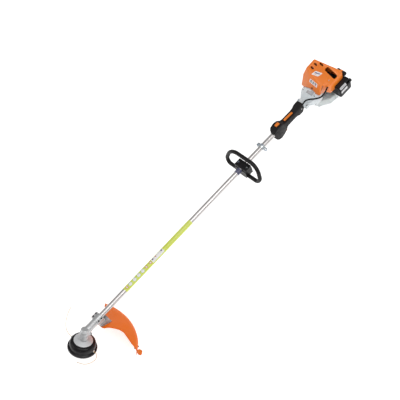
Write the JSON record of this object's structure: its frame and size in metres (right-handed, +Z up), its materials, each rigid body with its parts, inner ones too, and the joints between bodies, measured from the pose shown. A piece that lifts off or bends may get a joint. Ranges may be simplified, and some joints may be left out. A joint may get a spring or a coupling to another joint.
{
  "type": "brush cutter",
  "caption": "Petrol loop-handle brush cutter with line head, angled gearbox, deflector, long drive tube, control handle and rear two-stroke engine.",
  "frame": {"origin": "bottom centre of the box of the machine as it lies on its deflector skirt and engine skid", "axes": "+X along the drive tube towards the engine, +Y to the operator's right, +Z up"},
  "size_m": [1.8844, 0.4196, 0.2715],
  "materials": {
    "orange_plastic": "moulded orange, semi-gloss",
    "orange_guard": "moulded orange, fine grain",
    "black_plastic": "moulded black, fine grain",
    "head_black": "moulded nylon, glossy",
    "black_rubber": "soft black grip",
    "tank_plastic": "translucent natural polyethylene",
    "bulb_rubber": "translucent rubber",
    "cast_alloy": "die cast, blasted",
    "housing_white": "die cast, light grey paint",
    "tube_alloy": "drawn and polished tube",
    "bracket_alloy": "cast, tumbled",
    "zinc": "blue zinc plated",
    "steel": "machined steel",
    "black_screws": "black oxide",
    "label_film": "yellow-green film",
    "sleeve_blue": "dark bluish sleeve",
    "line_nylon": "amber nylon monofilament"
  },
  "bodies": {
    "machine": {"carburettor": "cast_alloy", "carrying_ring": "zinc", "clamp_screws_short": "zinc", "clutch_housing": "housing_white", "crankcase": "cast_alloy", "cylinder": "cast_alloy", "deflector": "orange_guard", "deflector_screws": "black_screws", "drive_tube": "tube_alloy", "engine_shroud": "orange_plastic", "engine_skid": "black_plastic", "filter_base": "black_plastic", "filter_cover": "black_plastic", "fuel_tank": "tank_plastic", "gearbox_bearings": "steel", "gearbox_housing": "cast_alloy", "gearbox_screws": "black_screws", "grease_plug": "black_screws", "guard_bracket": "bracket_alloy", "handle_screws": "black_screws", "handle_shell_left": "black_plastic", "handle_shell_right": "black_plastic", "housing_screws": "black_screws", "line_blade": "steel", "loop_clamp": "black_plastic", "loop_handle": "black_rubber", "loop_screws": "zinc", "muffler": "steel", "plug_boot": "black_rubber", "shaft_bushes": "black_plastic", "spark_plug": "steel", "starter_housing": "black_plastic", "throttle_cable": "black_rubber", "tube_label": "label_film", "tube_sleeve": "sleeve_blue"},
    "head": {"output_shaft": "steel", "bevel_gear": "steel", "thrust_dish": "cast_alloy", "head_housing": "head_black", "head_cap": "head_black", "line_eyelets": "steel", "trimmer_line_a": "line_nylon", "trimmer_line_b": "line_nylon"},
    "spool": {"line_spool": "black_plastic", "tap_button": "head_black"},
    "drive": {"drive_shaft": "steel", "bevel_pinion": "steel", "clutch_drum": "steel"},
    "crank": {"crankshaft": "steel", "clutch_shoes": "steel", "flywheel_fan": "cast_alloy"},
    "trigger": {"throttle_trigger": "orange_plastic"},
    "lockout": {"lockout_lever": "orange_plastic"},
    "stop_button": {"stop_switch": "orange_plastic"},
    "choke": {"choke_lever": "black_plastic"},
    "pulley": {"rope_pulley": "black_plastic"},
    "pull_grip": {"starter_grip": "black_plastic"},
    "tank_cap": {"fuel_cap": "black_plastic"},
    "cover_knob": {"filter_knob": "black_plastic"},
    "primer": {"purge_bulb": "bulb_rubber"}
  },
  "joints": [
    {"name": "head_spin", "type": "hinge", "parent": "machine", "child": "head", "pos_m": [-0.83036, 0.05697, 0.18676], "axis": [0.5644, 0, 0.8255], "continuous": true},
    {"name": "tap_press", "type": "slide", "parent": "head", "child": "spool", "axis": [0.5644, 0, 0.8255], "range_m": [0, 0.005], "stiffness_N_per_m": 1500, "springref_m": -0.004},
    {"name": "drive_spin", "type": "hinge", "parent": "machine", "child": "drive", "pos_m": [-0.72744, 0.05697, 0.18252], "axis": [0.9992, 0, -0.0412], "continuous": true},
    {"name": "crank_spin", "type": "hinge", "parent": "machine", "child": "crank", "pos_m": [0.77128, 0.05697, 0.12075], "axis": [0.9992, 0, -0.0412], "continuous": true},
    {"name": "trigger_pull", "type": "hinge", "parent": "machine", "child": "trigger", "pos_m": [0.54249, 0.05697, 0.10616], "axis": [0, -1, 0], "range_deg": [0, 16], "stiffness_Nm_per_rad": 0.6, "springref_deg": -5.73},
    {"name": "lockout_press", "type": "hinge", "parent": "machine", "child": "lockout", "pos_m": [0.61206, 0.05697, 0.14283], "axis": [0, -1, 0], "range_deg": [0, 5], "stiffness_Nm_per_rad": 1, "springref_deg": -5.73},
    {"name": "stop_slide", "type": "slide", "parent": "machine", "child": "stop_button", "axis": [0.9992, 0, -0.0412], "range_m": [0, 0.004]},
    {"name": "choke_turn", "type": "hinge", "parent": "machine", "child": "choke", "pos_m": [0.92406, -0.01503, 0.13648], "axis": [-0.9992, 0, 0.0412], "range_deg": [0, 60]},
    {"name": "starter_pull", "type": "slide", "parent": "machine", "child": "pull_grip", "axis": [0.6324, 0, 0.7746], "range_m": [0, 0.6], "stiffness_N_per_m": 8, "springref_m": -0.4},
    {"name": "pulley_spin", "type": "hinge", "parent": "machine", "child": "pulley", "pos_m": [0.88819, 0.05697, 0.11593], "axis": [-0.9992, 0, 0.0412], "range_deg": [0, 1200]},
    {"name": "primer_press", "type": "slide", "parent": "machine", "child": "primer", "axis": [0.0412, 0, 0.9992], "range_m": [0, 0.005], "stiffness_N_per_m": 400, "springref_m": -0.002},
    {"name": "tank_cap_turn", "type": "hinge", "parent": "machine", "child": "tank_cap", "pos_m": [0.82917, 0.11197, 0.06832], "axis": [0.0412, 0, 0.9992], "continuous": true},
    {"name": "cover_knob_turn", "type": "hinge", "parent": "machine", "child": "cover_knob", "pos_m": [0.93156, -0.04703, 0.12416], "axis": [0.9992, 0, -0.0412], "continuous": true}
  ],
  "couplings": [
    {"joint": "drive_spin", "follows": "head_spin", "ratio": 1.4167},
    {"joint": "pulley_spin", "follows": "starter_pull", "rad_per_m": 33.898}
  ]
}
